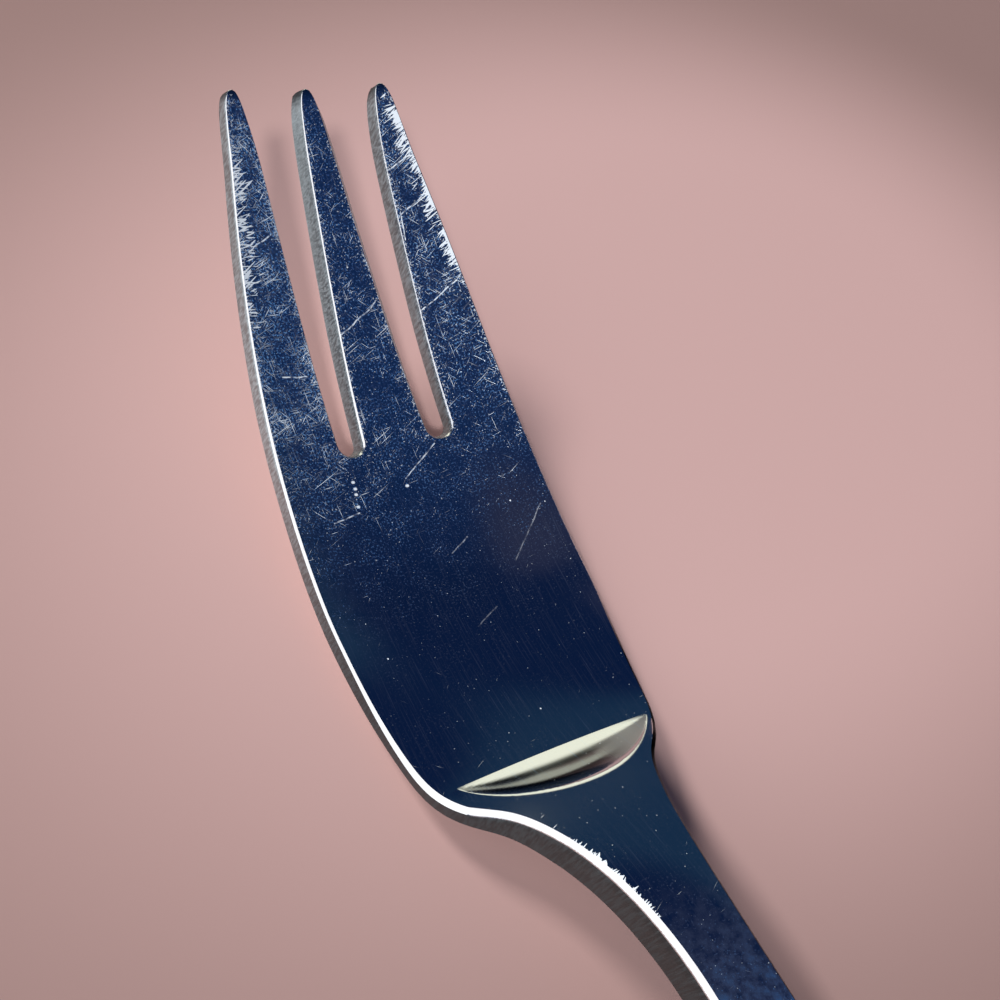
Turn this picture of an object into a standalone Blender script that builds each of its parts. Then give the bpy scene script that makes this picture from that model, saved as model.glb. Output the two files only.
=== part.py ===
# Salad fork with three tines.
# One formed piece of steel makes the tines, the palm, the neck and a tang. The tang stands in a
# cement core, and two pressed steel half shells close round the core as the hollow handle.
# Every place is first given on the metal: x across it, v along it from the tine tips, and a height
# above its middle surface. The centre line then bends that into the fork's side view.
import math

import bmesh
import bpy
import numpy as np

MM = 0.001
DEG = math.pi / 180

# Lengths along the metal
TINE_LENGTH = 33.6 * MM
PALM_LENGTH = 32.9 * MM
SHOULDER_LENGTH = 21.3 * MM
NECK_LENGTH = 20.0 * MM
HANDLE_LENGTH = 66.0 * MM
TANG_LENGTH = 44.0 * MM

# Outline of the head
HEAD_WIDTH = 24.7 * MM
WIDEST_TO_SHOULDER = 21.0 * MM
TIP_SIDE_RADIUS = 215.0 * MM
HEEL_SIDE_RADIUS = 125.0 * MM
SHOULDER_ROUND = 3.5 * MM
TIP_ROUND = 6.0 * MM
SLOT_ROOT_WIDTH = 2.5 * MM
SLOT_MOUTH_WIDTH = 5.1 * MM
SLOT_ROOT_SPACING = 8.9 * MM
SLOT_MOUTH_SPACING = 6.9 * MM
OUTER_TIP_SHARE = 0.42

# Outline of the neck and the tang
NECK_WIDTH = 5.65 * MM
NECK_END_WIDTH = 8.2 * MM
TANG_WIDTH = 3.4 * MM
TANG_THICKNESS = 1.4 * MM

# Thickness of the metal, and the step where the thin palm meets the thick neck
PLATE_THICKNESS = 1.4 * MM
TIP_THICKNESS = 0.9 * MM
TIP_TAPER = 16.0 * MM
NECK_RISE = 1.75 * MM
NECK_BACK = 2.1 * MM
NECK_END_HEIGHT = 4.6 * MM
STEP_INSET = 1.7 * MM
STEP_LENGTH = 4.5 * MM
STEP_TO_SHOULDER = 1.3 * MM
STEP_BLEND = 6.0 * MM
STEP_END_SHARE = 0.3
BACK_BLEND = 16.0 * MM
DISH_DEPTH = 1.95 * MM
DISH_FADE = 16.5 * MM
HEEL_CROWN = 0.5 * MM
EDGE_FINE = 0.25 * MM
EDGE_HEEL = 0.7 * MM
EDGE_BLEND = 24.0 * MM
EDGE_TIP_SHARE = 0.2

# Side view: the slope of the metal, positive where it climbs towards the tips
TIP_SLOPE = 29.4 * DEG
TINE_SLOPE = 25.0 * DEG
PALM_SLOPE = 6.5 * DEG
HEEL_SLOPE = -14.5 * DEG
RISE_SLOPE = -31.5 * DEG
NARROW_SLOPE = -9.8 * DEG
ARCH_SLOPE = 5.2 * DEG
HANDLE_SLOPE = 10.0 * DEG
TINE_STRAIGHT = 22.0 * MM
HEEL_TO_SHOULDER = 10.0 * MM
RISE_PAST_SHOULDER = 5.0 * MM
BEND_EASE = 6.0 * MM

# Hollow handle
HANDLE_WIDTH = 15.2 * MM
HANDLE_THICKNESS = 6.4 * MM
HANDLE_END_ROUND = 8.0 * MM
SHELL_WALL = 0.8 * MM
START_SQUARENESS = 5.0
END_SQUARENESS = 2.3
LAND_DEPTH = 0.35 * MM
CORE_SETBACK = 9.0 * MM

# Gap left between pieces that touch
FIT_GAP = 0.3 * MM

# Fineness of the meshes
GRID_STEP = 2.6 * MM
COLUMN_STEP = 2.1 * MM
STEP_ROWS = 5
ARC_POINTS = 7
SIDE_POINTS = 12
SECTION_POINTS = 10
BODY_STATIONS = 12
CAP_STATIONS = 6
LINE_STEP = 0.25 * MM
FLAT_HALF = 5.0 * MM
WELD_DISTANCE = 0.002 * MM
CUT_DISTANCE = 0.01 * MM
SHARP_ANGLE = 35.0 * DEG

# Stations along the metal, from the tips, and half widths there
SHOULDER = TINE_LENGTH + PALM_LENGTH
NARROWEST = SHOULDER + SHOULDER_LENGTH
HANDLE_START = NARROWEST + NECK_LENGTH
HANDLE_END = HANDLE_START + HANDLE_LENGTH
TANG_END = HANDLE_START + TANG_LENGTH
WIDEST = SHOULDER - WIDEST_TO_SHOULDER
STEP_START = SHOULDER - STEP_TO_SHOULDER
STEP_CREST = STEP_START + STEP_LENGTH
STEP_CLEAR = STEP_CREST + STEP_BLEND
END_CENTRE = HANDLE_END - HANDLE_END_ROUND
SHOULDER_HALF_WIDTH = HEAD_WIDTH / 2 - WIDEST_TO_SHOULDER ** 2 / (2 * HEEL_SIDE_RADIUS)
STEP_HALF_WIDTH = SHOULDER_HALF_WIDTH - STEP_INSET


def ease(start, end, value):
    """0 before start, 1 past end, and a smooth climb between them."""
    share = np.clip((value - start) / (end - start), 0.0, 1.0)
    return share * share * (3.0 - 2.0 * share)


def mix(first, second, share):
    return first + (second - first) * share


# Outline, as half widths at a distance v from the tips

def side_half_width(v):
    radius = TIP_SIDE_RADIUS if v < WIDEST else HEEL_SIDE_RADIUS
    return HEAD_WIDTH / 2 - (v - WIDEST) ** 2 / (2 * radius)


def slot_edges(v):
    """Inner and outer edge of a slot."""
    share = v / TINE_LENGTH
    centre = mix(SLOT_MOUTH_SPACING, SLOT_ROOT_SPACING, share) / 2
    half_width = mix(SLOT_MOUTH_WIDTH, SLOT_ROOT_WIDTH, share) / 2
    return centre - half_width, centre + half_width


def neck_half_width(v):
    return mix(NECK_WIDTH, NECK_END_WIDTH, ease(NARROWEST, HANDLE_START, v)) / 2


def bezier(start, middle, end, count):
    points = []
    for share in np.linspace(0.0, 1.0, count):
        first = [mix(a, b, share) for a, b in zip(start, middle)]
        second = [mix(a, b, share) for a, b in zip(middle, end)]
        points.append(tuple(mix(a, b, share) for a, b in zip(first, second)))
    return points


def tine_tip(start_x, apex_x, end_x):
    """Point of a tine, a parabola from one side over the apex to the other."""
    points = []
    for share in np.linspace(-1.0, 1.0, 2 * ARC_POINTS - 1):
        reach = start_x if share < 0 else end_x
        points.append((mix(apex_x, reach, abs(share)), TIP_ROUND * share ** 2))
    return points


def half_outline():
    """Right half of the blank's outline, from the end of the tang to the middle tine's apex."""
    points = [(TANG_WIDTH / 2, TANG_END), (TANG_WIDTH / 2, HANDLE_START)]
    for v in np.linspace(HANDLE_START, NARROWEST, ARC_POINTS):
        points.append((neck_half_width(v), v))
    corner_x = SHOULDER_HALF_WIDTH - SHOULDER_ROUND
    spread = SHOULDER_HALF_WIDTH - NECK_WIDTH / 2
    last_turn = math.acos(1 - (corner_x - NECK_WIDTH / 2) / spread)
    for turn in np.linspace(0.0, last_turn, 2 * ARC_POINTS)[1:]:
        x = NECK_WIDTH / 2 + spread * (1 - math.cos(turn))
        points.append((x, NARROWEST - SHOULDER_LENGTH * math.sin(turn)))
    side_start = SHOULDER - SHOULDER_ROUND
    side_end = (side_half_width(side_start), side_start)
    points += bezier(points[-1], (SHOULDER_HALF_WIDTH, SHOULDER), side_end, ARC_POINTS)[1:]
    for v in np.linspace(side_start, TIP_ROUND, SIDE_POINTS)[1:-1]:
        points.append((side_half_width(v), v))
    inner, outer = slot_edges(TIP_ROUND)
    tip_x = mix(outer, side_half_width(TIP_ROUND), OUTER_TIP_SHARE)
    points += tine_tip(side_half_width(TIP_ROUND), tip_x, outer)
    root_inner, root_outer = slot_edges(TINE_LENGTH)
    root_x = (root_inner + root_outer) / 2
    root_radius = (root_outer - root_inner) / 2
    for turn in np.linspace(0.0, math.pi, ARC_POINTS):
        x = root_x + root_radius * math.cos(turn)
        points.append((x, TINE_LENGTH - root_radius * (1 - math.sin(turn))))
    return points + tine_tip(inner, 0.0, -inner)[:ARC_POINTS]


def outline():
    right = half_outline()
    left = [(-x, v) for x, v in reversed(right[:-1])]
    return right + left


# Step at the heel: rows of the blank are bent so that one of them lies along its curved crest

def step_reach(x):
    """Length of the step's ramp at a place across the metal."""
    share = np.clip(x / STEP_HALF_WIDTH, -1.0, 1.0)
    return STEP_LENGTH * np.sqrt(np.maximum(1 - share ** 2, STEP_END_SHARE ** 2))


def to_row(x, v):
    """Row of the flat blank on which a place of the finished outline lies."""
    return np.interp(v, *reversed(row_bend(x)))


def to_metal(x, row):
    return np.interp(row, *row_bend(x))


def row_bend(x):
    rows = [0.0, STEP_START, STEP_CREST, STEP_CLEAR, 2 * TANG_END]
    places = [0.0, STEP_START, STEP_START + step_reach(x), STEP_CLEAR, 2 * TANG_END]
    return rows, places


# Heights above and below the middle surface

def edge_lift(v):
    """Height of the head's edges over its middle: dished at the palm, crowned at the shoulder."""
    crowned = mix(DISH_DEPTH, -HEEL_CROWN, ease(SHOULDER - DISH_FADE, SHOULDER, v))
    return mix(crowned, 0.0, ease(SHOULDER, NARROWEST, v))


def dish(x, v):
    return edge_lift(v) * (2 * x / HEAD_WIDTH) ** 2


def dish_slope(x, v):
    return 8 * edge_lift(v) * x / HEAD_WIDTH ** 2


def in_tang(v):
    return v > HANDLE_START + LINE_STEP / 2


def top_height(x, v):
    if in_tang(v):
        return TANG_THICKNESS / 2
    crown = max(1 - (x / STEP_HALF_WIDTH) ** 2, 0.0)
    ramp = min(max((v - STEP_START) / step_reach(x), 0.0), 1.0) ** 2
    neck = mix(NECK_RISE, NECK_END_HEIGHT / 2, ease(NARROWEST, HANDLE_START, v))
    return neck * crown * ramp


def bottom_height(v):
    if in_tang(v):
        return -TANG_THICKNESS / 2
    plate = mix(TIP_THICKNESS, PLATE_THICKNESS, ease(0.0, TIP_TAPER, v))
    neck = mix(NECK_BACK, NECK_END_HEIGHT / 2, ease(NARROWEST, HANDLE_START, v))
    return -mix(plate, neck, ease(SHOULDER - BACK_BLEND / 2, SHOULDER + BACK_BLEND / 2, v))


def edge_round(v):
    """Radius to which the upper edge of the metal is rounded off."""
    if in_tang(v) or v < TIP_ROUND:
        return EDGE_FINE * mix(EDGE_TIP_SHARE, 1.0, min(v / TIP_ROUND, 1.0))
    return mix(EDGE_FINE, EDGE_HEEL, ease(SHOULDER - EDGE_BLEND, SHOULDER, v))


def handle_half_width(v, inset):
    body = mix(NECK_END_WIDTH, HANDLE_WIDTH, ease(HANDLE_START, END_CENTRE, v)) / 2
    return (body - inset) * end_cap(v, inset)


def handle_half_height(v, inset):
    body = mix(NECK_END_HEIGHT, HANDLE_THICKNESS, ease(HANDLE_START, END_CENTRE, v)) / 2
    return (body - inset) * end_cap(v, inset)


def end_cap(v, inset):
    past = max(v - END_CENTRE, 0.0) / (HANDLE_END_ROUND - inset)
    return math.sqrt(max(1 - past ** 2, 0.0))


# Centre line of the side view

class CentreLine:
    """Side view of the middle surface, pitched so that the heel and the handle's end share a floor."""

    def __init__(self):
        self.v = np.arange(0.0, HANDLE_END + 2 * LINE_STEP, LINE_STEP)
        low, high = -30 * DEG, 30 * DEG
        for _ in range(40):
            pitch = (low + high) / 2
            heel, handle = self.bend(pitch)
            if handle > heel - LAND_DEPTH:
                low = pitch
            else:
                high = pitch
        front = self.y[0] - bottom_height(0.0) * math.sin(self.slope[0])
        back = float(np.interp(HANDLE_END, self.v, self.y))
        self.y -= (front + back) / 2
        self.z -= heel

    def bend(self, pitch):
        """Set the curve at a pitch and return the lowest points of the head and the handle."""
        bends = (
            (0.0, TIP_SLOPE),
            (TINE_STRAIGHT, TINE_SLOPE),
            (WIDEST, PALM_SLOPE),
            (SHOULDER - HEEL_TO_SHOULDER, HEEL_SLOPE),
            (SHOULDER + RISE_PAST_SHOULDER, RISE_SLOPE),
            (NARROWEST, NARROW_SLOPE),
            (HANDLE_START, ARCH_SLOPE),
            (END_CENTRE, HANDLE_SLOPE),
        )
        slope = np.interp(self.v, *zip(*bends))
        window = 2 * round(BEND_EASE / LINE_STEP / 2) + 1
        padded = np.pad(slope, window - 1, mode="edge")
        box = np.ones(window) / window
        self.slope = np.convolve(np.convolve(padded, box, "valid"), box, "valid") + pitch
        self.y = -self.travel(np.cos(self.slope))
        self.z = -self.travel(np.sin(self.slope))
        head = [i for i, v in enumerate(self.v) if v < NARROWEST]
        heel = min(self.z[i] + bottom_height(self.v[i]) * math.cos(self.slope[i]) for i in head)
        body = [i for i, v in enumerate(self.v) if HANDLE_START < v < HANDLE_END]
        handle = min(self.z[i] - handle_half_height(self.v[i], 0.0) * math.cos(self.slope[i]) for i in body)
        return heel, handle

    def travel(self, rate):
        return np.concatenate(([0.0], np.cumsum((rate[1:] + rate[:-1]) / 2) * LINE_STEP))

    def place(self, x, v, height):
        """Point of the fork for a place across, along and above the metal."""
        slope = float(np.interp(v, self.v, self.slope))
        y = float(np.interp(v, self.v, self.y))
        z = float(np.interp(v, self.v, self.z))
        rise = height + dish(x, v)
        return (x - height * dish_slope(x, v), y - rise * math.sin(slope), z + rise * math.cos(slope))


# Blender helpers

def clear_scene():
    for item in list(bpy.data.objects):
        bpy.data.objects.remove(item, do_unlink=True)


def new_collection(name):
    collection = bpy.data.collections.new(name)
    bpy.context.scene.collection.children.link(collection)
    return collection


def steel(name, colour, roughness, metallic):
    material = bpy.data.materials.new(name)
    material.use_nodes = True
    shader = material.node_tree.nodes["Principled BSDF"]
    shader.inputs["Base Color"].default_value = (*colour, 1.0)
    shader.inputs["Roughness"].default_value = roughness
    shader.inputs["Metallic"].default_value = metallic
    return material


def add_object(name, bm, collection, material):
    bmesh.ops.recalc_face_normals(bm, faces=bm.faces[:])
    if bm.calc_volume(signed=True) < 0:
        bmesh.ops.reverse_faces(bm, faces=bm.faces[:])
    mesh = bpy.data.meshes.new(name)
    bm.to_mesh(mesh)
    bm.free()
    mesh.shade_smooth()
    mesh.set_sharp_from_angle(angle=SHARP_ANGLE)
    item = bpy.data.objects.new(name, mesh)
    collection.objects.link(item)
    if material:
        mesh.materials.append(material)
    return item


def loft(rings):
    """Closed body through rings of as many points each, with a face at each end."""
    bm = bmesh.new()
    rows = [[bm.verts.new(point) for point in ring] for ring in rings]
    count = len(rows[0])
    for near, far in zip(rows, rows[1:]):
        for i in range(count):
            j = (i + 1) % count
            bm.faces.new((near[i], near[j], far[j], far[i]))
    bm.faces.new(rows[0])
    bm.faces.new(rows[-1])
    return bm


# Pieces

def blank_rows():
    """Rows and columns on which the flat blank is cut before it is bent."""
    rows = list(np.arange(GRID_STEP, STEP_START, GRID_STEP))
    rows += list(np.linspace(STEP_START, STEP_CREST, STEP_ROWS))
    rows += list(np.arange(STEP_CREST + GRID_STEP / 2, TANG_END, GRID_STEP))
    rows += [HANDLE_START, HANDLE_START + LINE_STEP]
    half = np.arange(0.0, HEAD_WIDTH / 2, COLUMN_STEP)
    return rows, sorted({*half, *-half})


def round_edge(bm, face):
    """Break the blank's upper edge: a ring of faces slopes from the flat top down to the side."""
    bmesh.ops.inset_region(bm, faces=[face], thickness=WELD_DISTANCE)
    inner = list(face.verts)
    outer = []
    for vert in inner:
        spoke = [edge for edge in vert.link_edges if face not in edge.link_faces][0]
        outer.append(spoke.other_vert(vert))
    corners = [vert.co.copy() for vert in outer]
    for i, vert in enumerate(outer):
        along = (corners[(i + 1) % len(corners)] - corners[i - 1]).normalized()
        depth = edge_round(float(to_metal(vert.co.x, vert.co.y)))
        inner[i].co.x = vert.co.x - along.y * depth
        inner[i].co.y = vert.co.y + along.x * depth
        vert.co.z -= depth


def fork_head(line, collection, material):
    curve = bpy.data.curves.new("blank", "CURVE")
    curve.dimensions = "2D"
    curve.fill_mode = "BOTH"
    curve.extrude = FLAT_HALF
    corners = [(x, to_row(x, v)) for x, v in outline()]
    spline = curve.splines.new("POLY")
    spline.points.add(len(corners) - 1)
    for point, (x, row) in zip(spline.points, corners):
        point.co = (x, row, 0.0, 1.0)
    spline.use_cyclic_u = True
    blank = bpy.data.objects.new("blank", curve)
    collection.objects.link(blank)
    graph = bpy.context.evaluated_depsgraph_get()
    flat = bpy.data.meshes.new_from_object(blank.evaluated_get(graph))
    bpy.data.objects.remove(blank, do_unlink=True)

    bm = bmesh.new()
    bm.from_mesh(flat)
    bmesh.ops.remove_doubles(bm, verts=bm.verts[:], dist=WELD_DISTANCE)
    for side in (1, -1):
        cap = [face for face in bm.faces if face.normal.z * side > 0.9]
        face = bmesh.ops.dissolve_faces(bm, faces=cap)["region"][0]
        if side > 0:
            round_edge(bm, face)
    rows, columns = blank_rows()
    cuts = [((0.0, row, 0.0), (0.0, 1.0, 0.0)) for row in rows]
    cuts += [((column, 0.0, 0.0), (1.0, 0.0, 0.0)) for column in columns]
    for point, normal in cuts:
        everything = bm.verts[:] + bm.edges[:] + bm.faces[:]
        bmesh.ops.bisect_plane(bm, geom=everything, dist=CUT_DISTANCE, plane_co=point, plane_no=normal)
    for vert in bm.verts:
        x = vert.co.x
        v = float(to_metal(x, vert.co.y))
        if vert.co.z > 0:
            height = top_height(x, v) + vert.co.z - FLAT_HALF
        else:
            height = bottom_height(v) + vert.co.z + FLAT_HALF
        vert.co = line.place(x, v, height)
    return add_object("fork_head", bm, collection, material)


def handle_stations(start, inset):
    """Stations along the handle: even along its body, and closer together round its end."""
    stations = list(np.linspace(start, END_CENTRE, BODY_STATIONS))
    for turn in np.linspace(0.0, math.pi / 2, CAP_STATIONS + 1)[1:]:
        stations.append(END_CENTRE + (HANDLE_END_ROUND - inset) * math.sin(turn))
    return stations


def half_section(line, v, inset, side, seam):
    """Half of the handle's section at a station, from one seam over the crown to the other."""
    half_width = handle_half_width(v, inset)
    crown = max(handle_half_height(v, inset) - seam, 0.0)
    power = 2 / mix(START_SQUARENESS, END_SQUARENESS, ease(HANDLE_START, END_CENTRE, v))
    points = []
    for turn in np.linspace(0.0, math.pi, SECTION_POINTS + 1):
        x = math.copysign(half_width * abs(math.cos(turn)) ** power, math.cos(turn))
        points.append(line.place(x, v, side * (seam + crown * math.sin(turn) ** power)))
    return points


def half_shell(name, side, line, collection, material):
    """One pressed half of the handle: an outer and an inner skin joined along the seam."""
    bm = bmesh.new()
    skins = []
    for inset in (0.0, SHELL_WALL):
        rows = []
        for v in handle_stations(HANDLE_START + LINE_STEP + FIT_GAP, inset):
            ring = half_section(line, v, inset, side, FIT_GAP / 2)
            rows.append([bm.verts.new((x, y, max(z, 0.0))) for x, y, z in ring])
        skins.append(rows)
    outer, inner = skins
    for rows in skins:
        for near, far in zip(rows, rows[1:]):
            for i in range(SECTION_POINTS):
                bm.faces.new((near[i], near[i + 1], far[i + 1], far[i]))
    for edge in (0, SECTION_POINTS):
        for i in range(len(outer) - 1):
            bm.faces.new((outer[i][edge], outer[i + 1][edge], inner[i + 1][edge], inner[i][edge]))
    for i in range(SECTION_POINTS):
        bm.faces.new((outer[0][i], outer[0][i + 1], inner[0][i + 1], inner[0][i]))
    bmesh.ops.remove_doubles(bm, verts=bm.verts[:], dist=WELD_DISTANCE)
    bmesh.ops.dissolve_degenerate(bm, edges=bm.edges[:], dist=WELD_DISTANCE)
    return add_object(name, bm, collection, material)


def handle_filler(line, collection, cutters, material):
    """Cement core, with a pocket for the tang."""
    inset = SHELL_WALL + FIT_GAP
    rings = []
    for v in handle_stations(HANDLE_START + CORE_SETBACK, inset)[:-1]:
        front = half_section(line, v, inset, 1, 0.0)
        back = half_section(line, v, inset, -1, 0.0)
        rings.append(front + back[-2:0:-1])
    core = add_object("handle_filler", loft(rings), collection, material)

    half_width = TANG_WIDTH / 2 + FIT_GAP
    half_height = TANG_THICKNESS / 2 + FIT_GAP
    corners = ((1, 1), (-1, 1), (-1, -1), (1, -1))
    rings = []
    for v in np.linspace(HANDLE_START + CORE_SETBACK / 2, TANG_END + FIT_GAP, BODY_STATIONS):
        rings.append([line.place(a * half_width, v, b * half_height) for a, b in corners])
    pocket = add_object("tang_pocket", loft(rings), cutters, None)
    pocket.hide_render = True
    pocket.display_type = "WIRE"
    cut = core.modifiers.new("pocket", "BOOLEAN")
    cut.operation = "DIFFERENCE"
    cut.object = pocket
    return core


def main():
    clear_scene()
    parts = new_collection("salad_fork")
    cutters = new_collection("cutters")
    line = CentreLine()
    polished = steel("polished_steel", (0.56, 0.58, 0.60), 0.16, 1.0)
    pressed = steel("pressed_steel", (0.54, 0.56, 0.58), 0.2, 1.0)
    pressed_back = steel("pressed_steel_back", (0.54, 0.56, 0.58), 0.22, 1.0)
    cement = steel("cement", (0.5, 0.47, 0.42), 0.9, 0.0)
    fork_head(line, parts, polished)
    half_shell("handle_front_shell", 1, line, parts, pressed)
    half_shell("handle_back_shell", -1, line, parts, pressed_back)
    handle_filler(line, parts, cutters, cement)


main()
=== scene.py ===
# Looks of the salad fork: a fine metal surface for its head and handle, worn steel finishes with painted
# shade and sheen in places, a pale floor with a painted pool of light, soft studio light and the camera.
# Every place on the metal is given first as x across it, v along it from the tine tips, and a height
# above its middle surface, in millimetres. The centre line then bends that into the fork's side view.
import math

import bmesh
import bpy
import numpy as np
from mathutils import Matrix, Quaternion, Vector
from mathutils.geometry import delaunay_2d_cdt

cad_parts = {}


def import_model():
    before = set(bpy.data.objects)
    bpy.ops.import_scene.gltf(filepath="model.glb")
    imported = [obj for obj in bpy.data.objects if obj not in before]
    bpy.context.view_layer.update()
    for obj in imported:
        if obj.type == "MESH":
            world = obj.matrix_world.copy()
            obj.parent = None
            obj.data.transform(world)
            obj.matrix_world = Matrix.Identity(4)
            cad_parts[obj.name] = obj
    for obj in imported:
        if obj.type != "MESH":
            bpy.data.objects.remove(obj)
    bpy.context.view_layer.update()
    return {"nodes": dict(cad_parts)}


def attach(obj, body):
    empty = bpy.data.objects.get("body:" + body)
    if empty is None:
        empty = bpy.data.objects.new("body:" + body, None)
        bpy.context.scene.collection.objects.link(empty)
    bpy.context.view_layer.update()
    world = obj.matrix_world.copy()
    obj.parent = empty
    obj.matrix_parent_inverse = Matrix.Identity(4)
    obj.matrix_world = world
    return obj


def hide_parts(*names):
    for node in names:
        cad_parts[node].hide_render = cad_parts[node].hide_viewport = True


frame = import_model()

MM = 0.001
DEG = math.pi / 180

# Lengths along the metal
TINE_LENGTH = 33.6
PALM_LENGTH = 32.9
SHOULDER_LENGTH = 21.3
NECK_LENGTH = 20.0
HANDLE_LENGTH = 66.0
TANG_LENGTH = 44.0

# Outline of the head
HEAD_WIDTH = 24.7
WIDEST_TO_SHOULDER = 21.0
TIP_SIDE_RADIUS = 215.0
HEEL_SIDE_RADIUS = 125.0
SHOULDER_ROUND = 3.5
TIP_ROUND = 6.0
TIP_POWER = 2.6
SLOT_ROOT_WIDTH = 2.5
SLOT_MOUTH_WIDTH = 5.1
SLOT_ROOT_SPACING = 8.9
SLOT_MOUTH_SPACING = 6.9
OUTER_TIP_SHARE = 0.42

# Outline of the neck and the tang
NECK_WIDTH = 5.65
NECK_END_WIDTH = 8.2
TANG_WIDTH = 3.4
TANG_THICKNESS = 1.4

# Thickness of the metal, and the step where the thin palm meets the thick neck
PLATE_THICKNESS = 1.4
TIP_THICKNESS = 1.3
TIP_TAPER = 16.0
NECK_RISE = 1.75
NECK_BACK = 2.1
NECK_END_HEIGHT = 4.6
STEP_INSET = 1.35
STEP_SHIFT = 0.45
STEP_RISE = 1.45
STEP_LENGTH = 4.9
STEP_TO_SHOULDER = 1.7
STEP_END_SHARE = 0.02
STEP_END_POWER = 0.85
STEP_START_SLOPE = 0.65
STEP_RIM = 0.07
CREASE_GUARD = 0.08
STEP_WAVE = 0.3
STEP_WAVE_PLACE = 0.62
STEP_WAVE_REACH = 0.18
BACK_BLEND = 16.0
DISH_DEPTH = 1.95
DISH_FADE = 16.5
HEEL_CROWN = 0.5

# Edges of the metal: rounded over above, broken below
EDGE_TINE = 0.1
EDGE_PALM = 0.19
EDGE_HEEL = 0.42
EDGE_NECK_END = 0.2
EDGE_BLEND = 15.0
EDGE_END_BLEND = 4.0
EDGE_TIP_SHARE = 0.5
EDGE_SPREAD = 0.9
EDGE_CURVE = 1.1
EDGE_GUARD = 0.12
BACK_EDGE = 0.15
SLOT_FLARE = 0.6
SIDE_FLARE = 0.08
FLARE_CHANGE = 0.5
TIP_FLARE_SHARE = 0.75
ROOT_FLARE_SHARE = 0.7

# Side view: the slope of the metal, positive where it climbs towards the tips
TIP_SLOPE = 29.4 * DEG
TINE_SLOPE = 25.0 * DEG
PALM_SLOPE = 6.5 * DEG
HEEL_SLOPE = -14.5 * DEG
RISE_SLOPE = -31.5 * DEG
NARROW_SLOPE = -9.8 * DEG
ARCH_SLOPE = 5.2 * DEG
HANDLE_SLOPE = 10.0 * DEG
TINE_STRAIGHT = 22.0
HEEL_TO_SHOULDER = 10.0
RISE_PAST_SHOULDER = 5.0
BEND_EASE = 6.0

# Hollow handle
HANDLE_WIDTH = 15.2
HANDLE_THICKNESS = 6.4
HANDLE_END_ROUND = 8.0
SHELL_WALL = 0.8
START_SQUARENESS = 5.0
END_SQUARENESS = 2.3
LAND_DEPTH = 0.35
JOINT_GAP = 0.12
SEAM_GAP = 0.05
SEAM_ROUND = 0.12

# Fineness of the meshes
LINE_STEP = 0.25
OUTLINE_STEP = 0.35
SHOULDER_SMOOTHING = 30
TIP_SMOOTHING = 40
CAP_STEP = 0.7
CAP_MARGIN = 0.6 * OUTLINE_STEP
LINE_MARGIN = 0.3 * OUTLINE_STEP
MERGE_DISTANCE = 1e-5
TANG_ROW_POINTS = 20
TANG_ROW_HALF_WIDTH = TANG_WIDTH / 2.2
STEP_GRID = 0.22
STEP_GRID_MARGIN = 1.5
STEP_LINE_POINTS = 121
EDGE_RINGS = 5
SIDE_ROWS = 3
ARC_POINTS = 24
SECTION_POINTS = 40
BODY_STATIONS = 60
CAP_STATIONS = 14
SHARP_ANGLE = 38 * DEG
WELD_DISTANCE = 0.0001
PITCH_LIMIT = 30 * DEG
PITCH_HALVINGS = 40

# Stations along the metal, from the tips, and half widths there
SHOULDER = TINE_LENGTH + PALM_LENGTH
NARROWEST = SHOULDER + SHOULDER_LENGTH
HANDLE_START = NARROWEST + NECK_LENGTH
HANDLE_END = HANDLE_START + HANDLE_LENGTH
TANG_END = HANDLE_START + TANG_LENGTH
WIDEST = SHOULDER - WIDEST_TO_SHOULDER
STEP_START = SHOULDER - STEP_TO_SHOULDER
END_CENTRE = HANDLE_END - HANDLE_END_ROUND
SHOULDER_HALF_WIDTH = HEAD_WIDTH / 2 - WIDEST_TO_SHOULDER ** 2 / (2 * HEEL_SIDE_RADIUS)
STEP_HALF_WIDTH = SHOULDER_HALF_WIDTH - STEP_INSET

# Stretches along the metal over which something changes, and reaches over which the outline is eased
ROOT_FLARE_FADE = (0.6 * TINE_LENGTH, TINE_LENGTH)
SLOT_FADE = (0.8 * TINE_LENGTH, 1.2 * TINE_LENGTH)
EDGE_GROWTH = (0.5 * TINE_LENGTH, 1.2 * TINE_LENGTH)
TIP_EASE = 0.7 * TIP_ROUND
SHOULDER_EASE = 2 * SHOULDER_ROUND

# Camera, fitted to the photograph's edges
CAMERA_PLACE = Vector((-41.86, 6.06, 83.26)) * MM
CAMERA_AIM = Vector((4.59, 43.53, 8.0)) * MM
CAMERA_ROLL = 29.5 * DEG
CAMERA_LENS = 39.91
SENSOR = 36.0
CLIP_START = 0.001

# Colours of the metal, of what marks it, of its painted shade and sheen, and of the handle's filling
STEEL = (0.60, 0.61, 0.63)
BRIGHT = (0.88, 0.95, 1.0)
# Painted blue sheen: fine flecks, haze and brushing are tinted blue, a painted reflection of the blue walls
PAINTED_BLUE_SHEEN = (0.26, 0.58, 1.0)
# Near black used for the painted shade in the step's hollow and on the right-hand edges, and to darken the
# very tips of the tines
PAINTED_SHADE = (0.028, 0.03, 0.032)
EDGE_STEEL = ((0.84, 0.85, 0.87), (0.97, 0.98, 0.98))
EDGE_TINT = (0.3, 0.3, 0.3)
# Sides: lighter where the tines are worn, partly painted light, and painted dark along the palm and neck, a
# painted shade
WORN_SIDE = ((0.39, 0.45, 0.465), (0.62, 0.71, 0.73))
PAINTED_SHADE_SIDE = ((0.080, 0.10, 0.107), (0.10, 0.126, 0.135))
CEMENT = ((0.36, 0.34, 0.30), (0.60, 0.57, 0.52))

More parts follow.
